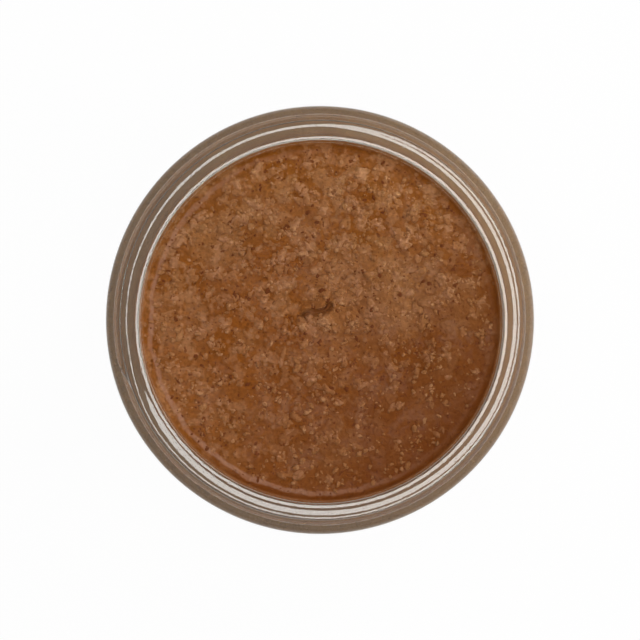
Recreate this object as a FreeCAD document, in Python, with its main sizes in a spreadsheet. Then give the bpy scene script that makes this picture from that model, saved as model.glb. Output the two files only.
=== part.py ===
import FreeCAD, Part
import math
import os

import Sketcher
from FreeCAD import Vector

# Straight-sided 12 oz glass jar with a wide screw-top mouth, filled with almond butter and left open.
# Millimetres, +Z up. The origin is the centre of the ring that the jar stands on.

SIZES = [
    ("overall_height", 108.0, "standing ring to sealing lip"),
    ("body_diameter", 73.4, "outside of the glass at its contact bands"),
    ("wall", 2.4, "glass at the label panel"),
    ("base_thickness", 4.2, "glass at the middle of the base"),
    ("push_up", 2.0, "rise of the dome under the base"),
    ("standing_ring", 2.8, "width of the flat ring that touches the table"),
    ("standing_round", 0.7, "inner edge of the standing ring"),
    ("heel_round", 5.0, "outside bottom corner"),
    ("floor_round", 8.0, "inside bottom corner"),
    ("panel_recess", 0.35, "depth of the label panel"),
    ("panel_foot", 12.5, "standing ring to the start of the label panel"),
    ("panel_head", 7.5, "end of the label panel to the shoulder corner"),
    ("panel_ramp", 1.2, "height of the slope at either end of the panel"),
    ("finish_height", 10.8, "neck, from the shoulder to the sealing lip"),
    ("shoulder_step", 3.1, "how far the body stands out past the neck"),
    ("shoulder_rise", 1.5, "slope of the shoulder from corner to neck"),
    ("shoulder_round", 3.0, "outside corner of the shoulder"),
    ("neck_round", 0.8, "root of the neck on the shoulder"),
    ("neck_wall", 2.95, "glass at the neck"),
    ("lip_outer_round", 1.0, "outside edge of the sealing lip"),
    ("lip_inner_round", 0.7, "inside edge of the sealing lip"),
    ("mouth_depth", 14.0, "straight part of the mouth"),
    ("throat_drop", 7.5, "flare from the mouth to the body inside"),
    ("throat_round", 5.0, "both bends of that flare"),
    ("fill_depth", 13.0, "sealing lip down to the butter"),
    ("meniscus_rise", 1.2, "how far the butter climbs the glass"),
    ("meniscus_width", 2.2, "width of the climbing rim"),
    ("meniscus_foot", 0.55, "start of the climbing rim, below the fill level"),
    ("moat_depth", 0.3, "dip of the butter just inside that rim"),
    ("moat_width", 3.0, "how far from the rim that dip reaches"),
    ("fold_height", 0.45, "ridge of the spiral that the filling stream laid"),
    ("fold_pitch", 11.5, "distance between turns of the spiral"),
    ("lump_height", 0.16, "settled unevenness over the whole surface"),
    ("lump_length", 15.0, "length of those waves"),
    ("curl_height", 1.1, "tip left where the stream was cut off"),
    ("curl_radius", 2.6, "radius of the crescent round that tip"),
    ("curl_width", 1.7, "width of the crescent"),
]

# The butter's relief: how many slow waves cross it and how their headings are spread, the grid of its
# spline sheet, the side of the tip that its crescent lies on, and how far cutting solids run past it.
LUMP_WAVES = 5
GOLDEN_ANGLE = math.pi * (3 - math.sqrt(5))
RELIEF_STEP = 1.25
CURL_BEARING = math.radians(125)
CLEAR = 6.0


def make_sheet(doc):
    """Spreadsheet of the driving sizes, one alias a row."""
    sheet = doc.addObject("Spreadsheet::Sheet", "Sizes")
    for row, (alias, value, meaning) in enumerate(SIZES, 1):
        sheet.set("A%d" % row, alias)
        sheet.set("B%d" % row, str(value))
        sheet.set("C%d" % row, meaning)
        sheet.setAlias("B%d" % row, alias)
    doc.recompute()
    return sheet


def origin_plane(body, role):
    return next(plane for plane in body.Origin.OriginFeatures if plane.Role == role)


def profile_sketch(body, name):
    """Empty sketch on the body's XZ plane: sketch X is the radius and sketch Y is the height."""
    sketch = body.newObject("Sketcher::SketchObject", name)
    sketch.AttachmentSupport = (origin_plane(body, "XZ_Plane"), [""])
    sketch.MapMode = "FlatFace"
    return sketch


def pin_point(sketch, edge, end, corner, radius, height):
    """Fix one end of a sketch edge at a radius and a height, each given as an expression."""
    for axis, kind, expression in (("radius", "DistanceX", radius), ("height", "DistanceY", height)):
        if expression == "0":
            across = -2 if axis == "radius" else -1
            sketch.addConstraint(Sketcher.Constraint("PointOnObject", edge, end, across))
            continue
        start = sketch.getPoint(edge, end)
        value = start.x if axis == "radius" else start.y
        index = sketch.addConstraint(Sketcher.Constraint(kind, -1, 1, edge, end, value))
        label = "%s_%s" % (corner, axis)
        sketch.renameConstraint(index, label)
        sketch.setExpression("Constraints.%s" % label, expression)


def closed_outline(body, name, corners):
    """Closed polygon in a radius-height sketch. A corner is (name, radius, height), the last two expressions."""
    sketch = profile_sketch(body, name)
    points = []
    for _, radius, height in corners:
        points.append(Vector(body.evalExpression(radius), body.evalExpression(height), 0))
    for start, end in zip(points, points[1:] + points[:1]):
        sketch.addGeometry(Part.LineSegment(start, end))
    for edge in range(len(points)):
        sketch.addConstraint(Sketcher.Constraint("Coincident", edge, 2, (edge + 1) % len(points), 1))
    for edge, (corner, radius, height) in enumerate(corners):
        pin_point(sketch, edge, 1, corner, radius, height)
    return sketch


def turn(body, kind, name, sketch):
    """Full turn of a sketch about the jar's axis, adding (Revolution) or removing (Groove) material."""
    feature = body.newObject("PartDesign::%s" % kind, name)
    feature.Profile = sketch
    feature.ReferenceAxis = (sketch, ["V_Axis"])
    feature.Angle = 360
    body.Document.recompute()
    return feature


def round_edge(body, name, radius, height, size):
    """Fillet the circular edge that lies at this radius and height (all three are expressions)."""
    at_radius = body.evalExpression(radius)
    at_height = body.evalExpression(height)
    base = body.Tip
    edges = []
    for number, edge in enumerate(base.Shape.Edges, 1):
        if edge.Degenerated or not isinstance(edge.Curve, Part.Circle):
            continue
        circle = edge.Curve
        if abs(circle.Radius - at_radius) < 0.001 and abs(circle.Center.z - at_height) < 0.001:
            edges.append("Edge%d" % number)
    if not edges:
        raise ValueError("%s: no edge at radius %.3f, height %.3f" % (name, at_radius, at_height))
    fillet = body.newObject("PartDesign::Fillet", name)
    fillet.Base = (base, edges)
    fillet.setExpression("Radius", size)
    body.Document.recompute()
    return fillet


# Places that more than one feature uses, as expressions over the sheet.
TOP = "Sizes.overall_height"
BODY_RADIUS = "Sizes.body_diameter / 2"
NECK_RADIUS = "Sizes.body_diameter / 2 - Sizes.shoulder_step"
NECK_FOOT = "Sizes.overall_height - Sizes.finish_height"
SHOULDER = "Sizes.overall_height - Sizes.finish_height - Sizes.shoulder_rise"
MOUTH_RADIUS = "Sizes.body_diameter / 2 - Sizes.shoulder_step - Sizes.neck_wall"
MOUTH_FOOT = "Sizes.overall_height - Sizes.mouth_depth"
THROAT_FOOT = "Sizes.overall_height - Sizes.mouth_depth - Sizes.throat_drop"
CAVITY_RADIUS = "Sizes.body_diameter / 2 - Sizes.panel_recess - Sizes.wall"
FLOOR = "Sizes.push_up + Sizes.base_thickness"
DOME_RADIUS = "Sizes.body_diameter / 2 - Sizes.heel_round - Sizes.standing_ring"
PANEL_RADIUS = "Sizes.body_diameter / 2 - Sizes.panel_recess"
PANEL_FOOT = "Sizes.panel_foot"
PANEL_HEAD = "Sizes.overall_height - Sizes.finish_height - Sizes.shoulder_rise - Sizes.panel_head"


def cavity_outline(body, name):
    """Half section of the inside of the jar. The glass is cut by it and the butter is cast in it."""
    return closed_outline(body, name, [
        ("floor_middle", "0", FLOOR),
        ("floor_corner", CAVITY_RADIUS, FLOOR),
        ("throat_low", CAVITY_RADIUS, THROAT_FOOT),
        ("throat_high", MOUTH_RADIUS, MOUTH_FOOT),
        ("mouth_edge", MOUTH_RADIUS, TOP),
        ("mouth_middle", "0", TOP),
    ])


def round_cavity(body):
    """The three bends of the inside, the same on the glass and on what fills it."""
    round_edge(body, body.Label + "_floor_round", CAVITY_RADIUS, FLOOR, "Sizes.floor_round")
    round_edge(body, body.Label + "_throat_low_round", CAVITY_RADIUS, THROAT_FOOT, "Sizes.throat_round")
    round_edge(body, body.Label + "_throat_high_round", MOUTH_RADIUS, MOUTH_FOOT, "Sizes.throat_round")


def push_up_sketch(body):
    """Lens under the base: a chord along the table and an arc that rises to the push-up at the axis."""
    sketch = profile_sketch(body, "push_up_outline")
    edge_radius = body.evalExpression(DOME_RADIUS)
    rise = body.evalExpression("Sizes.push_up")
    dome_radius = (edge_radius ** 2 + rise ** 2) / (2 * rise)
    centre = Vector(0, rise - dome_radius, 0)
    start = math.asin((dome_radius - rise) / dome_radius)
    circle = Part.Circle(centre, Vector(0, 0, 1), dome_radius)
    sketch.addGeometry(Part.LineSegment(Vector(0, 0, 0), Vector(edge_radius, 0, 0)))
    sketch.addGeometry(Part.ArcOfCircle(circle, start, math.pi / 2))
    sketch.addGeometry(Part.LineSegment(Vector(0, rise, 0), Vector(0, 0, 0)))
    sketch.addConstraint(Sketcher.Constraint("Coincident", 0, 2, 1, 1))
    sketch.addConstraint(Sketcher.Constraint("Coincident", 1, 2, 2, 1))
    sketch.addConstraint(Sketcher.Constraint("Coincident", 2, 2, 0, 1))
    sketch.addConstraint(Sketcher.Constraint("Coincident", 0, 1, -1, 1))
    sketch.addConstraint(Sketcher.Constraint("PointOnObject", 1, 3, -2))
    pin_point(sketch, 0, 2, "dome_edge", DOME_RADIUS, "0")
    pin_point(sketch, 2, 1, "dome_middle", "0", "Sizes.push_up")
    return sketch


def make_jar(doc):
    """The glass: a turned blank with its cavity, label panel and push-up, and every corner rounded."""
    body = doc.addObject("PartDesign::Body", "jar")
    body.Label = "jar"
    turn(body, "Revolution", "blank", closed_outline(body, "blank_outline", [
        ("base_middle", "0", "0"),
        ("heel", BODY_RADIUS, "0"),
        ("shoulder", BODY_RADIUS, SHOULDER),
        ("neck_foot", NECK_RADIUS, NECK_FOOT),
        ("lip", NECK_RADIUS, TOP),
        ("lip_middle", "0", TOP),
    ]))
    round_edge(body, "shoulder_corner", BODY_RADIUS, SHOULDER, "Sizes.shoulder_round")
    round_edge(body, "neck_root", NECK_RADIUS, NECK_FOOT, "Sizes.neck_round")
    round_edge(body, "heel_corner", BODY_RADIUS, "0", "Sizes.heel_round")

    turn(body, "Groove", "push_up", push_up_sketch(body))
    round_edge(body, "standing_edge", DOME_RADIUS, "0", "Sizes.standing_round")

    turn(body, "Groove", "label_panel", closed_outline(body, "panel_outline", [
        ("panel_start", BODY_RADIUS, PANEL_FOOT),
        ("panel_low", PANEL_RADIUS, PANEL_FOOT + " + Sizes.panel_ramp"),
        ("panel_high", PANEL_RADIUS, PANEL_HEAD + " - Sizes.panel_ramp"),
        ("panel_end", BODY_RADIUS, PANEL_HEAD),
    ]))

    turn(body, "Groove", "cavity", cavity_outline(body, "cavity_outline"))
    round_cavity(body)
    round_edge(body, "lip_outside", NECK_RADIUS, TOP, "Sizes.lip_outer_round")
    round_edge(body, "lip_inside", MOUTH_RADIUS, TOP, "Sizes.lip_inner_round")
    return body


def wall_radius(sheet, height):
    """Inside radius of the glass at a height: mouth above, body below, and the straight flare between."""
    mouth = sheet.body_diameter / 2 - sheet.shoulder_step - sheet.neck_wall
    body = sheet.body_diameter / 2 - sheet.panel_recess - sheet.wall
    below_mouth = sheet.overall_height - sheet.mouth_depth - height
    share = min(max(below_mouth / sheet.throat_drop, 0), 1)
    return mouth + (body - mouth) * share


def smooth_step(value):
    value = min(max(value, 0), 1)
    return value * value * (3 - 2 * value)


def spiral_fold(sheet, radius, angle, edge_radius):
    """Soft ridge that winds out from the middle and dies away towards the glass."""
    crest = math.cos(2 * math.pi * radius / sheet.fold_pitch - angle)
    fade = math.sin(math.pi * min(radius / edge_radius, 1))
    return sheet.fold_height / 2 * crest * fade


def settled_lumps(sheet, x, y):
    """Slow waves in scattered directions and lengths, so that no two lumps are alike."""
    total = 0
    for wave in range(LUMP_WAVES):
        heading = wave * GOLDEN_ANGLE
        length = sheet.lump_length * (0.8 + 0.15 * wave)
        along = x * math.cos(heading) + y * math.sin(heading)
        total += math.cos(2 * math.pi * along / length + wave)
    return sheet.lump_height / 2 * total / math.sqrt(LUMP_WAVES / 2)


def centre_curl(sheet, radius, angle):
    """Small tip with a crescent groove on one side, where the filling stream was cut off."""
    tip = sheet.curl_height * math.exp(-(radius / (sheet.curl_width * 0.75)) ** 2)
    groove = math.exp(-((radius - sheet.curl_radius) / (sheet.curl_width / 2)) ** 2)
    facing = max(math.cos(angle - CURL_BEARING), 0)
    return tip - sheet.curl_height / 2 * groove * facing


def butter_height(sheet, x, y, edge_radius):
    """Height of the butter's free surface over the fill level, out to the climbing rim."""
    radius = math.hypot(x, y)
    angle = math.atan2(y, x)
    rim_start = edge_radius - sheet.meniscus_width
    near_rim = smooth_step((radius - rim_start + sheet.moat_width) / sheet.moat_width)
    height = spiral_fold(sheet, radius, angle, edge_radius)
    height += settled_lumps(sheet, x, y) * (1 - near_rim / 2)
    height += centre_curl(sheet, radius, angle)
    return height - sheet.moat_depth * near_rim


def space_over_surface(sheet, level, edge_radius):
    """Solid above the stirred surface: a spline sheet over a square grid, pushed up past the lip."""
    half = edge_radius + CLEAR
    count = 2 * math.ceil(half / RELIEF_STEP)
    step = 2 * half / count
    grid = []
    for column in range(count + 1):
        x = column * step - half
        row = []
        for line in range(count + 1):
            y = line * step - half
            row.append(Vector(x, y, level + butter_height(sheet, x, y, edge_radius)))
        grid.append(row)
    surface = Part.BSplineSurface()
    surface.interpolate(grid)
    return surface.toShape().extrude(Vector(0, 0, sheet.fill_depth + CLEAR))


def space_inside_rim(sheet, level, edge_radius):
    """Turned solid inside the climbing rim: it meets the glass on an arc that leaves the butter level."""
    start = edge_radius - sheet.meniscus_width
    foot = level - sheet.meniscus_foot
    climb = sheet.meniscus_foot + sheet.meniscus_rise
    arc_radius = (sheet.meniscus_width ** 2 + climb ** 2) / (2 * climb)
    half_turn = math.asin(min(sheet.meniscus_width / arc_radius, 1)) / 2
    middle = Vector(start + arc_radius * math.sin(half_turn), 0,
                    foot + arc_radius * (1 - math.cos(half_turn)))
    bottom = foot - CLEAR / 2
    top = level + sheet.fill_depth + CLEAR
    arc_start = Vector(start, 0, foot)
    arc_end = Vector(edge_radius, 0, level + sheet.meniscus_rise)
    outside = Vector(edge_radius + CLEAR / 2, 0, arc_end.z + CLEAR)
    corners = [outside, Vector(outside.x, 0, top + CLEAR), Vector(0, 0, top + CLEAR),
               Vector(0, 0, bottom), Vector(start, 0, bottom), arc_start]
    edges = [Part.Arc(arc_start, middle, arc_end).toShape(), Part.makeLine(arc_end, outside)]
    for begin, end in zip(corners, corners[1:]):
        edges.append(Part.makeLine(begin, end))
    outline = Part.Face(Part.Wire(edges))
    return outline.revolve(Vector(0, 0, 0), Vector(0, 0, 1), 360)


def make_butter(doc, sheet):
    """The filling: cast in the cavity, face to face with the glass, and cut by its own stirred surface."""
    cast = doc.addObject("PartDesign::Body", "butter_cast")
    cast.Label = "butter_cast"
    turn(cast, "Revolution", "filling", cavity_outline(cast, "filling_outline"))
    round_cavity(cast)

    level = sheet.overall_height - sheet.fill_depth
    edge_radius = wall_radius(sheet, level)
    headspace = doc.addObject("Part::Feature", "headspace")
    headspace.Label = "headspace"
    over = space_over_surface(sheet, level, edge_radius)
    headspace.Shape = over.common(space_inside_rim(sheet, level, edge_radius))
    headspace.Placement = FreeCAD.Placement()

    butter = doc.addObject("Part::Cut", "almond_butter")
    butter.Label = "almond_butter"
    butter.Base = cast
    butter.Tool = headspace
    doc.recompute()
    return butter


def check(doc, nodes):
    """Stop if any object failed to build, or a finished piece isn't one sound solid."""
    for item in doc.Objects:
        if "Invalid" in item.State or "Error" in item.State:
            raise RuntimeError("%s: %s" % (item.Name, item.State))
    for node in nodes:
        shape = node.Shape
        if shape.isNull() or not shape.isValid() or len(shape.Solids) != 1:
            raise RuntimeError("%s is not one valid solid" % node.Label)


def main():
    doc = FreeCAD.newDocument("almond_butter_jar")
    sheet = make_sheet(doc)
    nodes = [make_jar(doc), make_butter(doc, sheet)]
    doc.recompute()
    check(doc, nodes)
    os.makedirs("parts", exist_ok=True)
    for node in nodes:
        node.Shape.exportStep("parts/%s.step" % node.Label)
        print("%-14s %8.2f cm3" % (node.Label, node.Shape.Volume / 1000))


main()
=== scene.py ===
import math
import random

import bpy
import numpy as np
from mathutils import Matrix, Vector, noise


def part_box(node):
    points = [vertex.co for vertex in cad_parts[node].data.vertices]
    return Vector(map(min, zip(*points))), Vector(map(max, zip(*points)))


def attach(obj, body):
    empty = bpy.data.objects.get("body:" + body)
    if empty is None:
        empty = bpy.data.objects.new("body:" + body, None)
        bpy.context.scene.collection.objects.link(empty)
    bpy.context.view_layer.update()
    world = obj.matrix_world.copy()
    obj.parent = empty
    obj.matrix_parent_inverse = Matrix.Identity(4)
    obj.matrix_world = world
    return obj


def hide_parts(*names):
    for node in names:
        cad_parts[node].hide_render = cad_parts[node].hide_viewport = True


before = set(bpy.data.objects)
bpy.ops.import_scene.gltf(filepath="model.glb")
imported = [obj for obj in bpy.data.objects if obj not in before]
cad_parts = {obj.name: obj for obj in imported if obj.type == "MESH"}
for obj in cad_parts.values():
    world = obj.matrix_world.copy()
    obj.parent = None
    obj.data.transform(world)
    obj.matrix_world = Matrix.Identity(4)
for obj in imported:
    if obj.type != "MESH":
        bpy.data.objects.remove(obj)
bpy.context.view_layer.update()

MM = 0.001
GOLDEN_ANGLE = math.pi * (3 - math.sqrt(5))

# ---------------------------------------------------------------------------------------------
# Sizes of the jar. The overall ones come from the frame, the rest are the mould's.

jar_low, jar_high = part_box("jar")
butter_low, butter_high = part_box("almond_butter")

TOP = jar_high.z
BODY_RADIUS = (jar_high.x - jar_low.x) / 2
CAVITY_RADIUS = (butter_high.x - butter_low.x) / 2
FLOOR = butter_low.z
RIM_OF_BUTTER = butter_high.z

NECK_RADIUS = BODY_RADIUS - 3.1 * MM
MOUTH_RADIUS = NECK_RADIUS - 2.95 * MM
NECK_FOOT = TOP - 10.8 * MM
SHOULDER = NECK_FOOT - 1.5 * MM
MOUTH_FOOT = TOP - 14.0 * MM
THROAT_FOOT = MOUTH_FOOT - 7.5 * MM
PUSH_UP = 2.0 * MM
DOME_RADIUS = BODY_RADIUS - 7.8 * MM
PANEL_RECESS = 0.35 * MM
PANEL_FOOT = 12.5 * MM
PANEL_HEAD = SHOULDER - 7.5 * MM
PANEL_RAMP = 1.2 * MM

FOOT_ROUNDING = 0.7 * MM
HEEL_ROUNDING = 5.0 * MM
PANEL_ROUNDING = 2.5 * MM
SHOULDER_ROUNDING = 3.0 * MM
NECK_ROUNDING = 0.8 * MM
THROAT_ROUNDING = 5.0 * MM
FLOOR_ROUNDING = 8.0 * MM

# The screw thread: one right-handed ridge that starts under the lip and winds down clockwise.
THREAD_PITCH = 25.4 * MM / 6
THREAD_DEPTH = 1.2 * MM
THREAD_HALF_WIDTH = 1.65 * MM
THREAD_START = TOP - 3.1 * MM
THREAD_TURNS = 1.12
THREAD_FADE = 0.035
THREAD_BEARING = math.radians(203)

# The sealing lip falls outwards in three low flats: an inner bead, a land that runs most of the way
# round, and an outer edge. Each table goes round by bearing in degrees, with sizes in millimetres.
LIP_RINGS = 100
LIP_SLOPE = math.tan(math.radians(13))
LIP_SOFTNESS = 0.35
LIP_INNER_ROUND = 0.11 * MM
LIP_INNER_DROP = 0.4 * MM
LIP_OUTER_DROP = 0.55 * MM
BORE_START = TOP - LIP_INNER_DROP - 0.3 * MM
NECK_END = TOP - 1.35 * MM
BEAD_RADIUS = 31.01
BEAD_DRIFT = 0.46 * MM
BEAD_HALF_WIDTH = 0.18
LAND_RADIUS = [(201, 31.65), (212, 31.84), (240, 32.16), (270, 32.38), (300, 32.50), (330, 32.70),
               (372, 32.68), (405, 32.52), (430, 32.46), (455, 32.55)]
LAND_HALF_WIDTH = [(201, 0.0), (206, 0.40), (214, 0.56), (270, 0.50), (330, 0.42), (360, 0.36),
                   (420, 0.31), (440, 0.26), (455, 0.0)]
EDGE_RADIUS = [(80, 32.80), (95, 32.60), (135, 32.50), (190, 32.46), (210, 33.02), (255, 33.16),
               (300, 33.27), (345, 33.37), (390, 33.35), (420, 33.08), (440, 32.80)]
EDGE_HALF_WIDTH = [(80, 0.26), (95, 0.28), (135, 0.24), (165, 0.14), (195, 0.13), (210, 0.15),
                   (300, 0.17), (345, 0.18), (390, 0.19), (440, 0.26)]

# The mouth was blown a little off the body's axis.
MOUTH_DRIFT = 0.4 * MM
MOUTH_DRIFT_BEARING = math.radians(303)

# How finely the glass is cut into faces, and the waviness of its blown inside: 3 and 5 waves round.
GLASS_STEPS_ROUND = 360
DOME_RINGS = 9
NECK_RING_STEP = 0.16 * MM
GLASS_WAVE = 0.035 * MM
WAVE_FADE = 10 * MM
WAVE_MARGIN = 6 * MM

# The butter: how its surface lies, and how fine its mesh is.
FILL_LEVEL = TOP - 13.0 * MM
BUTTER_INTO_WALL = 0.12 * MM
BUTTER_RINGS = 130
DISC_SECTORS = 8
MENISCUS_WIDTH = 1.8 * MM
MENISCUS_RISE = 1.2 * MM
MENISCUS_FOOT = 0.35 * MM
MENISCUS_BEND = 0.98
MOAT_DEPTH = 0.18 * MM
MOAT_WIDTH = 3.0 * MM
FOLD_HEIGHT = 0.45 * MM
FOLD_PITCH = 11.5 * MM
LUMP_HEIGHT = 0.16 * MM
LUMP_LENGTH = 15.0 * MM
LUMP_WAVES = 5

# The grain of the ground nuts, as height, length and seed of its noise. The far side is the coarser one.
GRAIN = [(0.16 * MM, 3.0 * MM, 1.0), (0.15 * MM, 1.25 * MM, 5.0)]
FAR_SIDE_RUN = 26 * MM

# The curl where the filling stream was cut off: a raised tip, a deep fold that bends round it like an S,
# and faint creases about it. Each crease is its line, its half width and its depth, in millimetres. The
# butter laps up along it by a share of the depth, some half widths away.
TIP_PLACE = (1.0 * MM, 0.1 * MM)
TIP_RADIUS = 2.3 * MM
TIP_HEIGHT = 0.6 * MM
LAP_SHARE = 0.25
LAP_OFFSET = 2
CREASES = [
    ([(-2.9, 0.4), (-3.0, 1.0), (-2.3, 1.5), (-1.0, 1.6), (0.2, 1.8), (1.1, 2.3), (1.3, 2.8)], 0.5, 1.15),
    ([(-4.3, 0.2), (-3.9, 1.5), (-3.0, 2.8), (-1.8, 3.2), (-0.9, 2.8)], 0.24, 0.28),
    ([(1.5, -1.9), (3.5, -2.1), (6.0, -2.2), (8.0, -1.7)], 0.28, 0.2),
    ([(-4.6, -2.6), (-5.2, -1.0), (-5.0, 0.6)], 0.28, 0.3),
    ([(5.4, 3.2), (6.4, 2.0), (7.2, 0.5)], 0.24, 0.25),
]

NUT_BITS = 1250
NUT_CHUNKS = 420
SKIN_FLECKS = 1150

# Crumbs heaped beside the curl, by turns in two heaps: x, y and spread along x, in millimetres.
CURL_CRUMBS = 30
CRUMB_HEAPS = [(4.6, -0.7, 1.5), (0.8, -0.2, 0.8)]
CRUMB_SPREAD = 0.55
CREASE_CLEARANCE = 0.8 * MM

# Where the butter has paler patches of painted sheen: x, y and reach in millimetres, and how pale it
# gets.
PALE_PLACES = [(6, 4, 12, 1.0), (13, 4, 9, 1.5), (-24, 2, 5, 0.5), (-18, 14, 6, 1.2),
               (-12, 18, 8, 0.5), (24, 1, 6, 1.0), (3, -22, 6, 0.9)]

# It is painted darker towards one side and deep in the moat, as painted shade, and amber where its oil
# thins out on the glass. A paler ring of painted sheen lies just inside the edge. Each pair says where an
# effect starts and where it is full.
SHADED_SIDE = (-3.0 * MM, 29.0 * MM)
SHADED_SIDE_BEARING = math.radians(-45)
SHADED_MOAT = (28.6 * MM, 29.8 * MM)
SHADED_MOAT_BEARING = math.radians(-72)
AMBER_EDGE = (30.3 * MM, 30.55 * MM)
SHEEN_RING_RADIUS = 29.3 * MM
SHEEN_RING_HALF_WIDTH = 0.6 * MM
SHEEN_RING_BEARING = math.radians(200)

# How fine the mottling of the butter is, with its small patches of painted sheen, and the raggedness of
# its patches, as waves per metre.
SLOW_MOTTLE = 130.0
SHEEN_CLOTS = 230.0
RAGGED_EDGES = 260.0
CLUMPS = 380.0

# Colours of the butter and of what lies in it.
PASTE = (0.200, 0.055, 0.0065)
# Painted sheen: the paler tone of the sheen patches.
SHEEN_TONE = (0.318, 0.138, 0.055)
# Painted shade: the darker tone on one side and deep in the moat.
SHADED_BUTTER = (0.125, 0.029, 0.004)
AMBER_OIL = (0.30, 0.105, 0.035)
# Painted sheen: the pale tone of the ring just inside the edge.
SHEEN_RING = (0.36, 0.155, 0.085)
# Paste pressed on the glass, greyed partly as a painted reflection of the glass.
PRESSED_REFLECTION_TONE = (0.178, 0.092, 0.042)
NUT = (0.445, 0.208, 0.100)
SKIN = (0.085, 0.020, 0.004)
CHUNK_PASTE = (0.265, 0.098, 0.033)
CHUNK_NUT = (0.47, 0.22, 0.115)
BIT_PASTE = (0.28, 0.108, 0.037)
BIT_NUT = (0.50, 0.245, 0.12)
FLECK_SKIN = (0.125, 0.031, 0.008)
PALE_FLECK = (0.17, 0.048, 0.013)
DARK_FLECK = (0.09, 0.021, 0.006)

# How much each mask of the settling and of the painted sheen and shade changes the colour, and how much
# gloss its oil gives.
PALE_SHARE = 0.32
SHEEN_CLOT_SHARE = 0.6
WET_COAT = 0.05
RING_COAT = 0.12
SETTLED_AND_LIT_TONES = [("Shaded", SHADED_BUTTER, 0.85), ("Amber", AMBER_OIL, 0.5), ("Ring", SHEEN_RING, 0.5),
                 ("Pressed", PRESSED_REFLECTION_TONE, 0.8)]

# How much of the mottling is left where the glass presses the butter flat.
PRESSED_SHARE = 0.35


# ---------------------------------------------------------------------------------------------
# Mesh helpers

def make_object(name, vertices, faces, material, smooth=True):
    """Object with its own mesh and one material."""
    mesh = bpy.data.meshes.new(name)
    mesh.from_pydata([tuple(v) for v in vertices], [], faces)
    mesh.validate()
    mesh.materials.append(material)
    if smooth:
        mesh.shade_smooth()
    mesh.update()
    made = bpy.data.objects.new(name, mesh)
    bpy.context.scene.collection.objects.link(made)
    return made


def rounded_path(corners, arc_step=math.radians(9)):
    """Points along a radius-height polyline. Each corner is (radius, height, rounding)."""
    points = []
    for index, (radius, height, rounding) in enumerate(corners):
        here = Vector((radius, height))
        if rounding == 0 or index in (0, len(corners) - 1):
            points.append(here)
            continue
        before = (Vector(corners[index - 1][:2]) - here).normalized()
        after = (Vector(corners[index + 1][:2]) - here).normalized()
        half_corner = before.angle(after) / 2
        reach = rounding / math.tan(half_corner)
        centre = here + (before + after).normalized() * rounding / math.sin(half_corner)
        start = here + before * reach - centre
        end = here + after * reach - centre
        turn = start.angle(end)
        steps = max(2, math.ceil(turn / arc_step))
        for step in range(steps + 1):
            share = step / steps
            arm = start * math.sin((1 - share) * turn) + end * math.sin(share * turn)
            points.append(centre + arm / math.sin(turn))
    return points


def ring_of(radius, height, count, centre=Vector((0, 0))):
    """One closed ring of points. Radius and height are numbers or arrays over the bearings."""
    angles = 2 * np.pi * np.arange(count) / count
    ring = np.empty((count, 3))
    ring[:, 0] = radius * np.cos(angles) + centre.x
    ring[:, 1] = radius * np.sin(angles) + centre.y
    ring[:, 2] = height
    return ring


def skin_between(rings, first_centre, last_centre):
    """Vertices and faces of a closed skin: a centre point, rings of one size, and a centre point."""
    count = len(rings[0])
    vertices = [first_centre]
    for ring in rings:
        vertices.extend(map(tuple, ring))
    vertices.append(last_centre)
    last = len(vertices) - 1
    top = 1 + (len(rings) - 1) * count
    faces = []
    for step in range(count):
        beside = (step + 1) % count
        faces.append((0, 1 + beside, 1 + step))
        for low in range(1, top, count):
            faces.append((low + step, low + beside, low + count + beside, low + count + step))
        faces.append((top + step, top + beside, last))
    return vertices, faces


def smooth_step(value):
    """0 up to 0, 1 from 1 on, and a smooth rise between."""
    value = np.clip(value, 0, 1)
    return value * value * (3 - 2 * value)


def bump_over(distance, half_width):
    """1 on a flat top, falling smoothly to 0 at the edges of a strip of that half width."""
    half_width = np.maximum(half_width, 1e-9)
    return smooth_step((1 - np.abs(distance) / half_width) / LIP_SOFTNESS)


def round_table(table, bearings):
    """Values at these bearings from a table of (bearing, value), in degrees, that may start anywhere."""
    places = [place for place, _ in table]
    values = [value for _, value in table]
    first = places[0]
    return np.interp((bearings - first) % 360 + first, places, values)


def drift(height):
    """Where the middle of the inside lies at a height: off the axis in the mouth, on it in the body."""
    share = float(smooth_step((height - THROAT_FOOT) / (MOUTH_FOOT - THROAT_FOOT)))
    heading = Vector((math.cos(MOUTH_DRIFT_BEARING), math.sin(MOUTH_DRIFT_BEARING)))
    return heading * MOUTH_DRIFT * share


def cloud(x, y, length, seed):
    """Smooth noise over the plane, about -1 to 1, with features of that length and of half of it."""
    total = np.zeros_like(x)
    for octave, weight in ((0, 1.0), (1, 0.55)):
        scale = 2 ** octave / length
        values = [noise.noise(Vector((a * scale, b * scale, seed + 7.3 * octave))) for a, b in zip(x, y)]
        total += weight * np.array(values)
    return total


def towards_far_side(y, start):
    """0 before a line across the butter, and rising smoothly to 1 behind it."""
    return smooth_step((y - start) / FAR_SIDE_RUN)


def inner_profile(start, outset=0.0):
    """Radius and height down the inside of the glass, from a start in the bore to the floor's middle."""
    return rounded_path([
        (MOUTH_RADIUS + outset, start, 0),
        (MOUTH_RADIUS + outset, MOUTH_FOOT, THROAT_ROUNDING),
        (CAVITY_RADIUS + outset, THROAT_FOOT, THROAT_ROUNDING),
        (CAVITY_RADIUS + outset, FLOOR - outset, FLOOR_ROUNDING),
        (0, FLOOR - outset, 0),
    ])


# ---------------------------------------------------------------------------------------------
# Glass

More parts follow.
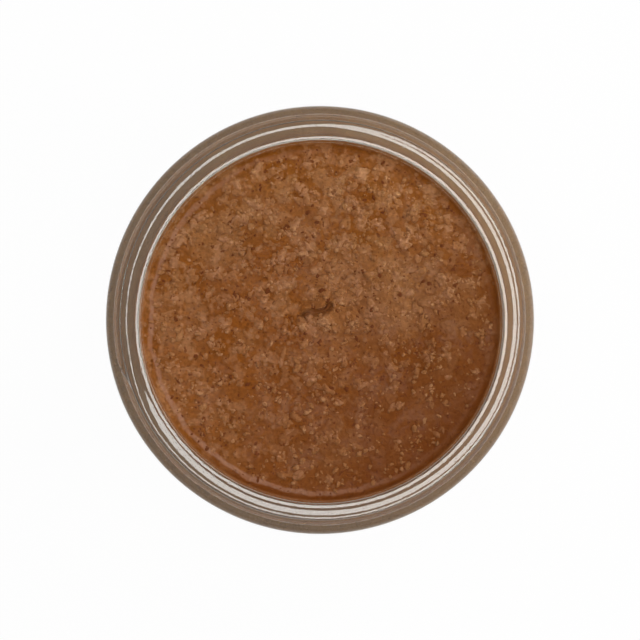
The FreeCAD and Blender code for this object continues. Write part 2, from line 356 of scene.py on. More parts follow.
def thread_height(angles, height):
    """How far the screw thread stands out of the neck at a height, for each bearing."""
    best = np.zeros_like(angles)
    for turn in (0, 1):
        along = (THREAD_BEARING - angles) / (2 * np.pi) % 1 + turn
        across = (height - (THREAD_START - THREAD_PITCH * along)) / THREAD_HALF_WIDTH
        fade = smooth_step(np.minimum(along, THREAD_TURNS - along) / THREAD_FADE)
        ridge = np.where(np.abs(across) < 1, 0.5 + 0.5 * np.cos(np.pi * across), 0)
        best = np.maximum(best, THREAD_DEPTH * fade * ridge)
    return best


def lip_rings(angles):
    """Rings over the sealing lip, from the outside of the neck to the mouth."""
    bearings = np.degrees(angles)
    off_axis = np.cos(angles - MOUTH_DRIFT_BEARING)
    inner = MOUTH_RADIUS + MOUTH_DRIFT * off_axis
    bead = BEAD_RADIUS * MM + BEAD_DRIFT * off_axis
    land = round_table(LAND_RADIUS, bearings) * MM
    land_width = round_table(LAND_HALF_WIDTH, bearings) * MM
    land_start, land_end = LAND_RADIUS[0][0], LAND_RADIUS[-1][0]
    land_width *= (bearings - land_start) % 360 < land_end - land_start
    edge = round_table(EDGE_RADIUS, bearings) * MM
    edge_width = round_table(EDGE_HALF_WIDTH, bearings) * MM
    rings = []
    fall = np.zeros_like(angles)
    before = inner
    for index in range(LIP_RINGS + 1):
        radius = inner + (NECK_RADIUS - inner) * index / LIP_RINGS
        flat = np.maximum(bump_over(radius - land, land_width), bump_over(radius - edge, edge_width))
        flat = np.where(radius < bead + BEAD_HALF_WIDTH * MM, 1, flat)
        fall = fall + LIP_SLOPE * (1 - flat) * (radius - before)
        into_bore = np.clip(1 - (radius - inner) / LIP_INNER_ROUND, 0, 1)
        past_edge = np.clip((radius - edge - edge_width) / (NECK_RADIUS - edge - edge_width), 0, 1)
        height = TOP - fall - LIP_INNER_DROP * (1 - np.sqrt(1 - into_bore ** 2))
        height = height - LIP_OUTER_DROP * (1 - np.sqrt(1 - past_edge ** 2))
        rings.append(ring_of(radius, height, len(angles)))
        before = radius
    return rings[::-1]


def push_up_height(radius):
    """Height of the domed push-up under the jar."""
    return PUSH_UP * (1 - (radius / DOME_RADIUS) ** 2)


def outside_rings(angles):
    """Rings up the outside of the jar, from the push-up to just under the lip."""
    rings = []
    for step in range(1, DOME_RINGS):
        radius = DOME_RADIUS * step / DOME_RINGS
        rings.append(ring_of(radius, push_up_height(radius), len(angles)))
    path = rounded_path([
        (radius, push_up_height(radius), 0),
        (DOME_RADIUS, 0, FOOT_ROUNDING),
        (BODY_RADIUS, 0, HEEL_ROUNDING),
        (BODY_RADIUS, PANEL_FOOT, PANEL_ROUNDING),
        (BODY_RADIUS - PANEL_RECESS, PANEL_FOOT + PANEL_RAMP, PANEL_ROUNDING),
        (BODY_RADIUS - PANEL_RECESS, PANEL_HEAD - PANEL_RAMP, PANEL_ROUNDING),
        (BODY_RADIUS, PANEL_HEAD, PANEL_ROUNDING),
        (BODY_RADIUS, SHOULDER, SHOULDER_ROUNDING),
        (NECK_RADIUS, NECK_FOOT, NECK_ROUNDING),
        (NECK_RADIUS, TOP, 0),
    ])
    for radius, height in path[1:-1]:
        rings.append(ring_of(radius, height, len(angles)))
    neck_start = path[-2].y
    steps = math.ceil((NECK_END - neck_start) / NECK_RING_STEP)
    for step in range(1, steps + 1):
        height = neck_start + (NECK_END - neck_start) * step / steps
        radius = NECK_RADIUS + thread_height(angles, height)
        rings.append(ring_of(radius, height, len(angles)))
    return rings


def inside_rings(angles):
    """Rings down the inside, from under the lip to the floor, with the waviness of a blown wall."""
    rings = []
    for radius, height in inner_profile(BORE_START)[:-1]:
        wave = np.sin(3 * angles + height / (11 * MM)) + np.sin(5 * angles - height / (7 * MM) + 2)
        on_wall = radius > CAVITY_RADIUS - WAVE_MARGIN
        depth = GLASS_WAVE / 2 * min((TOP - height) / WAVE_FADE, 1) * on_wall
        rings.append(ring_of(radius + depth * wave, height, len(angles), drift(height)))
    return rings


def make_glass(material):
    """The whole jar as one closed skin."""
    angles = 2 * np.pi * np.arange(GLASS_STEPS_ROUND) / GLASS_STEPS_ROUND
    rings = outside_rings(angles) + lip_rings(angles) + inside_rings(angles)
    vertices, faces = skin_between(rings, (0, 0, PUSH_UP), (0, 0, FLOOR))
    return make_object("jar_glass", vertices, faces, material)


# ---------------------------------------------------------------------------------------------
# Almond butter

def away_from_line(x, y, line):
    """Distance in metres from each point to a polyline given in millimetres."""
    nearest = np.full_like(x, 1.0)
    for start, end in zip(line, line[1:]):
        start, end = np.array(start) * MM, np.array(end) * MM
        run = end - start
        from_x, from_y = x - start[0], y - start[1]
        share = np.clip((from_x * run[0] + from_y * run[1]) / run.dot(run), 0, 1)
        nearest = np.minimum(nearest, np.hypot(from_x - share * run[0], from_y - share * run[1]))
    return nearest


def centre_curl(x, y):
    """Raised tip at the middle, with the fold and the creases about it, each with a low lap along it."""
    height = TIP_HEIGHT * smooth_step(1 - np.hypot(x - TIP_PLACE[0], y - TIP_PLACE[1]) / TIP_RADIUS)
    for line, half_width, depth in CREASES:
        share = away_from_line(x, y, line) / (half_width * MM)
        lap = LAP_SHARE * np.exp(-(share - LAP_OFFSET) ** 2)
        height -= depth * MM * (np.exp(-share ** 2) - lap)
    return height


def stirred_relief(x, y):
    """The slow relief: spiral fold, settled lumps, moat along the rim, and the curl."""
    radius = np.hypot(x, y)
    angle = np.arctan2(y, x)
    rim_start = MOUTH_RADIUS - MENISCUS_WIDTH
    near_rim = smooth_step((radius - rim_start + MOAT_WIDTH) / MOAT_WIDTH)
    fold = np.cos(2 * np.pi * radius / FOLD_PITCH - angle)
    height = FOLD_HEIGHT / 2 * fold * np.sin(np.pi * np.minimum(radius / MOUTH_RADIUS, 1))
    lumps = np.zeros_like(x)
    for wave in range(LUMP_WAVES):
        heading = wave * GOLDEN_ANGLE
        length = LUMP_LENGTH * (0.8 + 0.15 * wave)
        along = x * math.cos(heading) + y * math.sin(heading)
        lumps += np.cos(2 * np.pi * along / length + wave)
    height += LUMP_HEIGHT / 2 * lumps / math.sqrt(LUMP_WAVES / 2) * (1 - near_rim / 2)
    return height - MOAT_DEPTH * near_rim + centre_curl(x, y)


def butter_relief(x, y):
    """Height of the butter over its fill level, with its grain and the rim that climbs the glass."""
    radius = np.hypot(x, y)
    rim_start = MOUTH_RADIUS - MENISCUS_WIDTH
    height = stirred_relief(x, y)
    coarse = 0.75 + 0.45 * towards_far_side(y, -12 * MM)
    for depth, length, seed in GRAIN:
        height += depth * coarse * cloud(x, y, length, seed)
    climb = np.clip((radius - rim_start) / MENISCUS_WIDTH, 0, 1)
    bend = 1 - np.sqrt(1 - MENISCUS_BEND * climb ** 2)
    full_bend = 1 - math.sqrt(1 - MENISCUS_BEND)
    rim = (MENISCUS_RISE + MENISCUS_FOOT) * bend / full_bend - MENISCUS_FOOT
    return np.where(radius > rim_start, np.maximum(height, rim), height)


def disc_points(rings, radius):
    """The middle of a disc and rings round it, each with one more point in every sector."""
    xs, ys = [0.0], [0.0]
    for ring in range(1, rings + 1):
        count = DISC_SECTORS * ring
        for step in range(count):
            angle = 2 * math.pi * step / count
            xs.append(radius * ring / rings * math.cos(angle))
            ys.append(radius * ring / rings * math.sin(angle))
    return np.array(xs), np.array(ys)


def disc_faces(rings):
    """Faces between the rings of disc_points: quads, with a triangle at the end of each sector."""
    faces = []
    inner_start, inner_count, outer_start = 0, 1, 1
    for ring in range(1, rings + 1):
        outer_count = DISC_SECTORS * ring
        for step in range(outer_count):
            inner_step = step - step // ring
            face = (inner_start + inner_step % inner_count, outer_start + step,
                    outer_start + (step + 1) % outer_count)
            if (step + 1) % ring:
                face += (inner_start + (inner_step + 1) % inner_count,)
            faces.append(face)
        inner_start, inner_count = outer_start, outer_count
        outer_start += outer_count
    return faces


def make_butter(material):
    """The filling, reaching just into the glass all round, with its stirred top."""
    x, y = disc_points(BUTTER_RINGS, MOUTH_RADIUS + BUTTER_INTO_WALL)
    z = FILL_LEVEL + butter_relief(x, y)
    middle = drift(RIM_OF_BUTTER)
    vertices = list(zip(x + middle.x, y + middle.y, z))
    faces = disc_faces(BUTTER_RINGS)
    edge_count = DISC_SECTORS * BUTTER_RINGS
    above = len(vertices) - edge_count
    for radius, height in inner_profile(RIM_OF_BUTTER, BUTTER_INTO_WALL)[1:-1]:
        below = len(vertices)
        vertices.extend(map(tuple, ring_of(radius, height, edge_count, drift(height))))
        for step in range(edge_count):
            beside = (step + 1) % edge_count
            faces.append((above + step, below + step, below + beside, above + beside))
        above = below
    vertices.append((0, 0, FLOOR - BUTTER_INTO_WALL))
    for step in range(edge_count):
        faces.append((above + step, len(vertices) - 1, above + (step + 1) % edge_count))
    return make_object("almond_butter_fill", vertices, faces, material)


def scattered_places(dice, count, reach, gather_length, crowding, seed):
    """Random places over the butter, gathered where slow noise is high, and none in the deep fold."""
    xs, ys = [], []
    while len(xs) < count:
        radius = reach * math.sqrt(dice.random())
        angle = dice.uniform(0, 2 * math.pi)
        x, y = radius * math.cos(angle), radius * math.sin(angle)
        crowd = noise.noise(Vector((x / gather_length, y / gather_length, seed)))
        in_fold = away_from_line(x, y, CREASES[0][0]) < CREASE_CLEARANCE
        if dice.random() < 0.5 + crowding * crowd and not in_fold:
            xs.append(x)
            ys.append(y)
    return np.array(xs), np.array(ys)


def mixed_sizes(dice, count, smallest, spread, largest):
    """Sizes, most of them near the smallest. What is given is in millimetres."""
    return [MM * min(smallest + dice.expovariate(1 / spread), largest) for _ in range(count)]


def pebble(segments, rows):
    """Vertices and faces of a unit ball cut into rows, as the start of a ground bit."""
    vertices = [(0, 0, 1)]
    faces = []
    for row in range(1, rows):
        tilt = math.pi * row / rows
        across = math.sin(tilt)
        for step in range(segments):
            angle = 2 * math.pi * step / segments
            vertices.append((across * math.cos(angle), across * math.sin(angle), math.cos(tilt)))
    vertices.append((0, 0, -1))
    last = len(vertices) - 1
    for step in range(segments):
        beside = (step + 1) % segments
        faces.append((0, 1 + step, 1 + beside))
        for row in range(rows - 2):
            low = 1 + row * segments
            faces.append((low + step, low + segments + step, low + segments + beside, low + beside))
        low = 1 + (rows - 2) * segments
        faces.append((low + step, last, low + beside))
    return vertices, faces


def make_bits(name, material, dice, places, sizes, flatness, sink, segments, rows):
    """Ground bits lying in the surface, all in one mesh: each a dented pebble at its own angle.

    Flatness and sink are ranges: the height of a bit over its width, and how deep its middle lies.
    """
    ball, ball_faces = pebble(segments, rows)
    x, y = places
    z = FILL_LEVEL + butter_relief(x, y)
    middle = drift(RIM_OF_BUTTER)
    vertices, faces = [], []
    for index, size in enumerate(sizes):
        width = size / 2
        length = width * dice.uniform(1.0, 1.7)
        depth = width * dice.uniform(*flatness)
        turn = Matrix.Rotation(dice.uniform(0, 2 * math.pi), 3, "Z")
        turn = turn @ Matrix.Rotation(dice.gauss(0, 0.2), 3, "X")
        dent = dice.uniform(0, 100)
        start = len(vertices)
        sunk = dice.uniform(*sink) * depth
        centre = Vector((x[index] + middle.x, y[index] + middle.y, z[index] - sunk))
        for corner in ball:
            corner = Vector(corner)
            swell = 1 + 0.8 * noise.noise(corner * 1.3 + Vector((dent, 0, 0)))
            shaped = Vector((corner.x * length, corner.y * width, corner.z * depth)) * swell
            vertices.append(centre + turn @ shaped)
        faces.extend(tuple(start + corner for corner in face) for face in ball_faces)
    return make_object(name, vertices, faces, material)


def make_nut_bits(material):
    """The pale bits all over the butter, and the crumbs heaped beside its curl."""
    dice = random.Random(11)
    xs, ys = scattered_places(dice, NUT_BITS, MOUTH_RADIUS - 1.6 * MM, 5 * MM, 1.7, 3.0)
    sizes = mixed_sizes(dice, NUT_BITS, 0.3, 0.2, 1.4)
    for index in range(CURL_CRUMBS):
        heap_x, heap_y, spread = CRUMB_HEAPS[index % 2]
        xs = np.append(xs, MM * dice.gauss(heap_x, spread))
        ys = np.append(ys, MM * dice.gauss(heap_y, CRUMB_SPREAD))
        sizes.append(MM * dice.uniform(0.5, 1.0))
    return make_bits("nut_bits", material, dice, (xs, ys), sizes, (0.5, 0.85), (-0.1, 0.7), 8, 5)


def make_nut_chunks(material):
    """Coarser lumps under a coat of paste, most of them on the far side."""
    dice = random.Random(5)
    tried = 3 * NUT_CHUNKS
    xs, ys = scattered_places(dice, tried, MOUTH_RADIUS - 2.4 * MM, 4.5 * MM, 2.2, 1.0)
    chances = 0.22 + 0.38 * towards_far_side(ys, -10 * MM)
    kept = [index for index, chance in enumerate(chances) if dice.random() < chance][:NUT_CHUNKS]
    sizes = [MM * dice.uniform(0.8, 2.3) for _ in kept]
    places = (xs[kept], ys[kept])
    return make_bits("nut_chunks", material, dice, places, sizes, (0.45, 0.7), (0.55, 0.92), 14, 9)


def make_skin_flecks(material):
    """Thin flakes of the almonds' brown skin, spread more evenly than the bits."""
    dice = random.Random(23)
    places = scattered_places(dice, SKIN_FLECKS, MOUTH_RADIUS - 1.0 * MM, 6 * MM, 0.4, 8.0)
    sizes = mixed_sizes(dice, SKIN_FLECKS, 0.28, 0.14, 0.9)
    return make_bits("skin_flecks", material, dice, places, sizes, (0.15, 0.3), (0.1, 0.8), 8, 4)


# ---------------------------------------------------------------------------------------------
# Shader helpers

def new_material(name):
    """Material with its tree and its Principled shader."""
    material = bpy.data.materials.new(name)
    material.use_nodes = True
    tree = material.node_tree
    return material, tree, tree.nodes["Principled BSDF"]


def show_mix(tree, share, first, second):
    """Put a mix of two shaders on the surface."""
    mix = tree.nodes.new("ShaderNodeMixShader")
    tree.links.new(share, mix.inputs["Fac"])
    tree.links.new(first, mix.inputs[1])
    tree.links.new(second, mix.inputs[2])
    tree.links.new(mix.outputs["Shader"], tree.nodes["Material Output"].inputs["Surface"])


def new_group(name, inputs, outputs):
    """Shader node group. Inputs are (name, socket type, default) and outputs (name, socket type)."""
    group = bpy.data.node_groups.new(name, "ShaderNodeTree")
    for label, kind, value in inputs:
        socket = group.interface.new_socket(name=label, in_out="INPUT", socket_type=kind)
        socket.default_value = value
    for label, kind in outputs:
        group.interface.new_socket(name=label, in_out="OUTPUT", socket_type=kind)
    return group, group.nodes.new("NodeGroupInput"), group.nodes.new("NodeGroupOutput")


def use_group(tree, group, **values):
    """A shared group placed in a material, with its inputs set by name."""
    node = tree.nodes.new("ShaderNodeGroup")
    node.node_tree = group
    for label, value in values.items():
        node.inputs[label].default_value = value
    return node


def feed(tree, socket, value):
    """Link a socket, or set it to a plain value."""
    if isinstance(value, bpy.types.NodeSocket):
        tree.links.new(value, socket)
    else:
        socket.default_value = value


def calculate(tree, operation, first, second=0.0, third=0.0, clamp=False):
    """Arithmetic on sockets or plain values."""
    node = tree.nodes.new("ShaderNodeMath")
    node.operation = operation
    node.use_clamp = clamp
    for index, value in enumerate((first, second, third)):
        feed(tree, node.inputs[index], value)
    return node.outputs[0]


def measure(tree, operation, first, second):
    """A distance or a dot product of two vectors, as a value."""
    node = tree.nodes.new("ShaderNodeVectorMath")
    node.operation = operation
    feed(tree, node.inputs[0], first)
    feed(tree, node.inputs[1], second)
    return node.outputs["Value"]


def along_bearing(tree, place, bearing):
    """How far out each point lies along a bearing."""
    return measure(tree, "DOT_PRODUCT", place, (math.cos(bearing), math.sin(bearing), 0))


def remap(tree, value, low, high, to_low=0.0, to_high=1.0, curve="SMOOTHSTEP"):
    """Value moved from one range to another, held at its ends. Low may be above high."""
    node = tree.nodes.new("ShaderNodeMapRange")
    node.interpolation_type = curve
    for label, amount in (("Value", value), ("From Min", low), ("From Max", high),
                          ("To Min", to_low), ("To Max", to_high)):
        feed(tree, node.inputs[label], amount)
    return node.outputs["Result"]


def blend(tree, factor, first, second):
    """Mix of two colours."""
    node = tree.nodes.new("ShaderNodeMix")
    node.data_type = "RGBA"
    feed(tree, node.inputs["Factor"], factor)
    feed(tree, node.inputs[6], first)
    feed(tree, node.inputs[7], second)
    return node.outputs[2]


def noise_at(tree, place, scale, detail=3.0):
    """Cloudy noise between 0 and 1, about 0.5 on average."""
    node = tree.nodes.new("ShaderNodeTexNoise")
    feed(tree, node.inputs["Vector"], place)
    feed(tree, node.inputs["Scale"], scale)
    node.inputs["Detail"].default_value = detail
    return node.outputs["Fac"]


def cells_at(tree, place, scale):
    """Distance to the nearest cell point, and a random number for the cell."""
    node = tree.nodes.new("ShaderNodeTexVoronoi")
    feed(tree, node.inputs["Vector"], place)
    feed(tree, node.inputs["Scale"], scale)
    parts = tree.nodes.new("ShaderNodeSeparateColor")
    tree.links.new(node.outputs["Color"], parts.inputs["Color"])
    return node.outputs["Distance"], parts.outputs["Red"]


# ---------------------------------------------------------------------------------------------
# Effects that several materials share

def ground_nut_group():
    """Paste with finely ground nut in it: mottled colour, and a height for the bump."""
    group, given, result = new_group(
        "ground_nut",
        [("Paste", "NodeSocketColor", (0.2, 0.07, 0.02, 1)),
         ("Nut", "NodeSocketColor", (0.36, 0.17, 0.08, 1)),
         ("Skin", "NodeSocketColor", (0.08, 0.03, 0.012, 1)),
         ("Grain", "NodeSocketFloat", 1.2 * MM),
         ("Nut Amount", "NodeSocketFloat", 0.5),
         ("Skin Amount", "NodeSocketFloat", 0.5)],
        [("Color", "NodeSocketColor"), ("Height", "NodeSocketFloat")])
    place = group.nodes.new("ShaderNodeTexCoord").outputs["Object"]
    per_metre = calculate(group, "DIVIDE", 1.0, given.outputs["Grain"])

    slow = remap(group, noise_at(group, place, SLOW_MOTTLE), 0.36, 0.66)
    clump = remap(group, noise_at(group, place, CLUMPS, 4.0), 0.50, 0.60)
    clump = calculate(group, "MULTIPLY", clump, given.outputs["Nut Amount"])
    paler = calculate(group, "MULTIPLY_ADD", clump, 0.62, calculate(group, "MULTIPLY", slow, 0.1))
    tone = blend(group, paler, given.outputs["Paste"], given.outputs["Nut"])

    distance, chance = cells_at(group, place, per_metre)
    nut = remap(group, distance, 0.42, 0.16)
    nut = calculate(group, "MULTIPLY", nut, remap(group, chance, 0.45, 0.75))
    share = calculate(group, "MULTIPLY", nut, given.outputs["Nut Amount"])
    tone = blend(group, share, tone, given.outputs["Nut"])

    fine_scale = calculate(group, "MULTIPLY", per_metre, 1.9)
    distance, chance = cells_at(group, place, fine_scale)
    skin = remap(group, distance, 0.42, 0.12)
    skin = calculate(group, "MULTIPLY", skin, remap(group, chance, 0.62, 0.8))
    share = calculate(group, "MULTIPLY", skin, given.outputs["Skin Amount"])
    tone = blend(group, share, tone, given.outputs["Skin"])

    grit = noise_at(group, place, calculate(group, "MULTIPLY", per_metre, 2.2))
    shade = group.nodes.new("ShaderNodeVectorMath")
    shade.operation = "SCALE"
    group.links.new(tone, shade.inputs[0])
    group.links.new(remap(group, grit, 0.3, 0.7, 0.8, 1.2, "LINEAR"), shade.inputs["Scale"])
    group.links.new(shade.outputs["Vector"], result.inputs["Color"])

    height = calculate(group, "MULTIPLY_ADD", grit, 0.8, calculate(group, "MULTIPLY", nut, 0.4))
    height = calculate(group, "ADD", height, clump)
    height = calculate(group, "SUBTRACT", height, calculate(group, "MULTIPLY", skin, 0.3))
    group.links.new(height, result.inputs["Height"])
    return group


def settling_and_light_group():
    """How the butter settled, and where light is painted on it: masks for its painted sheen and shade,
    its pressed wall and the rings at its edge.
    """
    group, given, result = new_group(
        "settling_and_painted_light",
        [("Ragged", "NodeSocketFloat", 3.5 * MM)],
        [("Pale", "NodeSocketFloat"), ("Sheen Clots", "NodeSocketFloat"), ("Shaded", "NodeSocketFloat"),
         ("Ring", "NodeSocketFloat"), ("Amber", "NodeSocketFloat"), ("Pressed", "NodeSocketFloat")])
    place = group.nodes.new("ShaderNodeTexCoord").outputs["Object"]
    parts = group.nodes.new("ShaderNodeSeparateXYZ")
    group.links.new(place, parts.inputs[0])
    rough = calculate(group, "SUBTRACT", noise_at(group, place, RAGGED_EDGES), 0.5)
    ragged = calculate(group, "MULTIPLY", given.outputs["Ragged"], 2.0)
    rough = calculate(group, "MULTIPLY", rough, ragged)

    # Distance from the middle of the mouth, plain and with a ragged edge.
    middle = drift(RIM_OF_BUTTER)
    flat = group.nodes.new("ShaderNodeVectorMath")
    flat.operation = "MULTIPLY"
    group.links.new(place, flat.inputs[0])
    flat.inputs[1].default_value = (1, 1, 0)
    radius = measure(group, "DISTANCE", flat.outputs["Vector"], (middle.x, middle.y, 0))
    uneven = calculate(group, "MULTIPLY_ADD", rough, 0.25, radius)

    # The top inside the mouth, and the wall that the glass presses flat, which is greyest in the throat;
    # that grey is partly a painted reflection of the glass.
    on_top = remap(group, parts.outputs["Z"], FILL_LEVEL - 3.0 * MM, FILL_LEVEL - 1.5 * MM)
    inside = remap(group, radius, MOUTH_RADIUS + 0.1 * MM, MOUTH_RADIUS - 0.05 * MM, 0.3, 1.0)
    on_top = calculate(group, "MULTIPLY", on_top, inside)
    throat = remap(group, parts.outputs["Z"], FILL_LEVEL - 20.0 * MM, FILL_LEVEL - 7.0 * MM, 0.35, 1.0)
    pressed = calculate(group, "MULTIPLY", calculate(group, "SUBTRACT", 1.0, on_top), throat)
    group.links.new(pressed, result.inputs["Pressed"])

    # Patches of painted sheen, paler in these places.
    pale = 0.0
    for x, y, reach, amount in PALE_PLACES:
        away = measure(group, "DISTANCE", place, (x * MM, y * MM, FILL_LEVEL))
        away = calculate(group, "ADD", away, rough)
        patch = remap(group, away, reach * MM, reach * 0.45 * MM, 0.0, amount)
        pale = calculate(group, "MAXIMUM", pale, patch)
    group.links.new(pale, result.inputs["Pale"])

    # Painted sheen in small ragged patches, more of it on the far side.
    clot_sheen = remap(group, noise_at(group, place, SHEEN_CLOTS, 5.0), 0.555, 0.59)
    across = calculate(group, "ADD", parts.outputs["Y"], rough)
    far_side = remap(group, across, -10 * MM, 10 * MM, 0.3, 0.75)
    group.links.new(calculate(group, "MULTIPLY", clot_sheen, far_side), result.inputs["Sheen Clots"])

    # Painted shade: darker towards one side, and deep in the moat towards another.
    side = calculate(group, "ADD", along_bearing(group, place, SHADED_SIDE_BEARING), rough)
    side = remap(group, side, *SHADED_SIDE, 0.0, 1.0, "LINEAR")
    deepest = along_bearing(group, place, SHADED_MOAT_BEARING)
    deepest = remap(group, deepest, 8 * MM, 26 * MM, 0.0, 1.15)
    moat = calculate(group, "MULTIPLY", remap(group, uneven, *SHADED_MOAT), deepest)
    shaded = calculate(group, "MULTIPLY", calculate(group, "MAXIMUM", side, moat), on_top, clamp=True)
    group.links.new(shaded, result.inputs["Shaded"])

    # A ring of painted sheen just inside the edge, strongest on one side; it also gives the ring a real
    # coat of oil.
    ring = calculate(group, "ABSOLUTE", calculate(group, "SUBTRACT", uneven, SHEEN_RING_RADIUS))
    ring = remap(group, ring, SHEEN_RING_HALF_WIDTH, SHEEN_RING_HALF_WIDTH * 0.3)
    ring = calculate(group, "MULTIPLY", ring, on_top)
    most_sheen = along_bearing(group, place, SHEEN_RING_BEARING)
    most_sheen = remap(group, most_sheen, -16 * MM, 26 * MM, 0.12, 1.0)
    group.links.new(calculate(group, "MULTIPLY", ring, most_sheen), result.inputs["Ring"])

    amber = calculate(group, "MULTIPLY", remap(group, radius, *AMBER_EDGE), on_top)
    group.links.new(amber, result.inputs["Amber"])
    return group


def oil_film_group():
    """The butter's own oil: where it lies as a film, and the roughness under and beside it."""
    group, given, result = new_group(
        "oil_film",
        [("Pool Size", "NodeSocketFloat", 6 * MM),
         ("Dry Roughness", "NodeSocketFloat", 0.6),
         ("Wet Roughness", "NodeSocketFloat", 0.4)],
        [("Wetness", "NodeSocketFloat"), ("Roughness", "NodeSocketFloat")])
    place = group.nodes.new("ShaderNodeTexCoord").outputs["Object"]
    per_metre = calculate(group, "DIVIDE", 1.0, given.outputs["Pool Size"])
    wet = remap(group, noise_at(group, place, per_metre), 0.4, 0.62)
    group.links.new(wet, result.inputs["Wetness"])
    rough = remap(group, wet, 0.0, 1.0, given.outputs["Dry Roughness"], given.outputs["Wet Roughness"])
    group.links.new(rough, result.inputs["Roughness"])
    return group


# ---------------------------------------------------------------------------------------------
# Materials

def glass_material():
    """Clear container glass. Lamps reach what is inside along straight shadow rays."""
    material, tree, shader = new_material("container_glass")
    shader.inputs["Base Color"].default_value = (0.82, 0.94, 0.89, 1)
    shader.inputs["Roughness"].default_value = 0.0
    shader.inputs["IOR"].default_value = 1.52
    shader.inputs["Transmission Weight"].default_value = 1.0
    path = tree.nodes.new("ShaderNodeLightPath")
    clear = tree.nodes.new("ShaderNodeBsdfTransparent")
    clear.inputs["Color"].default_value = (0.76, 0.87, 0.84, 1)
    show_mix(tree, path.outputs["Is Shadow Ray"], shader.outputs["BSDF"], clear.outputs["BSDF"])
    return material


def nutty_material(name, colors, grain, amounts, bump, settled_and_lit=1.0):
    """Almond butter or a bit of what is in it: ground nut under a patchy film of oil.

    Colors are paste, nut and skin, amounts are those of nut and skin, and the last number is the share
    of the butter's painted sheen and shade, amber oil, pressed tone and oil coat that shows on it.
    """
    material, tree, shader = new_material(name)
    paste, nut, skin = colors
    places = use_group(tree, SETTLING_AND_LIGHT)
    nutty = use_group(tree, GROUND, Nut=(*nut, 1), Skin=(*skin, 1), Grain=grain)
    for label, amount in zip(("Nut Amount", "Skin Amount"), amounts):
        kept = remap(tree, places.outputs["Pressed"], 0.0, 1.0, amount, amount * PRESSED_SHARE, "LINEAR")
        tree.links.new(kept, nutty.inputs[label])
    # Painted sheen: the paste turns paler in the pale places and the clots.
    sheen = calculate(tree, "MULTIPLY", places.outputs["Pale"], PALE_SHARE * settled_and_lit)
    sheen_clots = calculate(tree, "MULTIPLY", places.outputs["Sheen Clots"], SHEEN_CLOT_SHARE)
    sheen = calculate(tree, "MAXIMUM", sheen, sheen_clots)
    tree.links.new(blend(tree, sheen, (*paste, 1), (*SHEEN_TONE, 1)), nutty.inputs["Paste"])
    film = use_group(tree, OIL)
    color = nutty.outputs["Color"]
    # Painted shade, the painted sheen ring, amber oil and the pressed tone, which is partly painted
    # reflection, over the mottling.
    for mask, tone, amount in SETTLED_AND_LIT_TONES:
        share = calculate(tree, "MULTIPLY", places.outputs[mask], amount * settled_and_lit)
        color = blend(tree, share, color, (*tone, 1))
    tree.links.new(color, shader.inputs["Base Color"])
    tree.links.new(film.outputs["Roughness"], shader.inputs["Roughness"])
    coat = calculate(tree, "MULTIPLY", film.outputs["Wetness"], WET_COAT * settled_and_lit)
    ring = calculate(tree, "MULTIPLY", places.outputs["Ring"], RING_COAT * settled_and_lit)
    tree.links.new(calculate(tree, "MAXIMUM", coat, ring), shader.inputs["Coat Weight"])
    shader.inputs["Coat Roughness"].default_value = 0.22
    shader.inputs["Coat IOR"].default_value = 1.47
    shader.inputs["Specular IOR Level"].default_value = 0.05
    relief = tree.nodes.new("ShaderNodeBump")
    relief.inputs["Distance"].default_value = bump
    relief.inputs["Strength"].default_value = 1.0
    tree.links.new(nutty.outputs["Height"], relief.inputs["Height"])
    tree.links.new(relief.outputs["Normal"], shader.inputs["Normal"])
    return material


# ---------------------------------------------------------------------------------------------
# Studio

FLOOR_SIZE = 4.0
FLOOR_GLOW = 0.96
SURROUND_LIGHT = 0.36
CAMERA_DISTANCE = 0.6145
SHOWN_WIDTH = 0.1094


def area_lamp(name, place, size, power, mirrored=True):
    """Square softbox that faces the mouth. One that isn't mirrored leaves no highlight on the glass."""
    data = bpy.data.lights.new(name, "AREA")
    data.shape = "SQUARE"
    data.size = size
    data.energy = power
    lamp = bpy.data.objects.new(name, data)
    lamp.location = place
    lamp.rotation_euler = (Vector((0, 0, TOP)) - Vector(place)).to_track_quat("-Z", "Y").to_euler()
    lamp.visible_camera = False
    lamp.visible_glossy = mirrored
    bpy.context.scene.collection.objects.link(lamp)


def white_surround(strength):
    """World that is plain white to look at, in a mirror and through glass, and lights the rest less."""
    world = bpy.data.worlds.new("white_surround")
    world.use_nodes = True
    tree = world.node_tree
    background = tree.nodes["Background"]
    background.inputs["Color"].default_value = (1, 1, 1, 1)
    path = tree.nodes.new("ShaderNodeLightPath")
    seen = calculate(tree, "MAXIMUM", path.outputs["Is Camera Ray"], path.outputs["Is Glossy Ray"])
    seen = calculate(tree, "MAXIMUM", seen, path.outputs["Is Transmission Ray"])
    level = remap(tree, seen, 0.0, 1.0, strength, 1.0, "LINEAR")
    tree.links.new(level, background.inputs["Strength"])
    bpy.context.scene.world = world


def pale_floor(size):
    """Floor that looks nearly white and still takes the jar's soft shadow."""
    material, tree, shader = new_material("pale_floor")
    shader.inputs["Base Color"].default_value = (0.9, 0.9, 0.9, 1)
    shader.inputs["Roughness"].default_value = 0.9
    shader.inputs["Specular IOR Level"].default_value = 0.0
    glow = tree.nodes.new("ShaderNodeEmission")
    glow.inputs["Strength"].default_value = 1.0
    path = tree.nodes.new("ShaderNodeLightPath")
    seen = calculate(tree, "MAXIMUM", path.outputs["Is Camera Ray"], path.outputs["Is Transmission Ray"])
    share = calculate(tree, "MULTIPLY", seen, FLOOR_GLOW)
    show_mix(tree, share, shader.outputs["BSDF"], glow.outputs["Emission"])
    half = size / 2
    corners = [(-half, -half, 0), (half, -half, 0), (half, half, 0), (-half, half, 0)]
    floor = make_object("floor", corners, [(0, 1, 2, 3)], material, smooth=False)


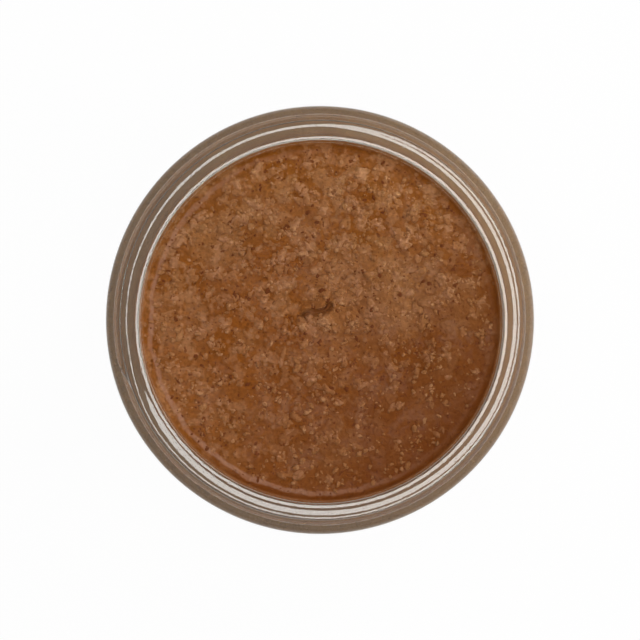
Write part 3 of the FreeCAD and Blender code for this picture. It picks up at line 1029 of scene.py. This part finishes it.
def overhead_camera(distance, shown_width):
    """Camera looking straight down on the mouth, so far over the shoulder, where it sees this width."""
    data = bpy.data.cameras.new("overhead")
    data.sensor_width = 36
    data.lens = data.sensor_width * distance / shown_width
    data.clip_start = 0.01
    data.clip_end = 20
    camera = bpy.data.objects.new("overhead", data)
    camera.location = (0, 0, SHOULDER + distance)
    bpy.context.scene.collection.objects.link(camera)
    bpy.context.scene.camera = camera


# ---------------------------------------------------------------------------------------------
# The scene

def stand_for(made, node):
    """This piece stands for a node of the frame and rides with it."""
    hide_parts(node)
    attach(made, "root")


GROUND = ground_nut_group()
OIL = oil_film_group()
SETTLING_AND_LIGHT = settling_and_light_group()

butter_skin = nutty_material("almond_butter", (PASTE, NUT, SKIN), 1.3 * MM, (0.4, 0.35), 0.28 * MM)
chunk_skin = nutty_material("coated_chunks", (CHUNK_PASTE, CHUNK_NUT, PASTE), 1.0 * MM, (0.6, 0.6),
                            0.15 * MM, settled_and_lit=0.6)
bit_skin = nutty_material("ground_bits", (BIT_PASTE, BIT_NUT, PASTE), 0.8 * MM, (0.6, 0.7),
                          0.1 * MM, settled_and_lit=0.35)
fleck_skin = nutty_material("skin_flecks", (FLECK_SKIN, PALE_FLECK, DARK_FLECK), 0.5 * MM, (0.4, 0.4),
                            0.05 * MM, settled_and_lit=0.0)

glass = make_glass(glass_material())
stand_for(glass, "jar")
butter = make_butter(butter_skin)
stand_for(butter, "almond_butter")
for extra in (make_nut_bits(bit_skin), make_nut_chunks(chunk_skin), make_skin_flecks(fleck_skin)):
    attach(extra, "root")

pale_floor(FLOOR_SIZE)
white_surround(SURROUND_LIGHT)
area_lamp("overhead_softbox", (0.0, 0.0, 1.25), 0.43, 5.75)
area_lamp("side_softbox", (0.20, 0.26, 0.26), 0.12, 0.33, mirrored=False)
area_lamp("low_softbox", (0.60, -0.05, 0.16), 0.20, 1.6, mirrored=False)
overhead_camera(CAMERA_DISTANCE, SHOWN_WIDTH)

bpy.context.scene.view_settings.view_transform = "Standard"
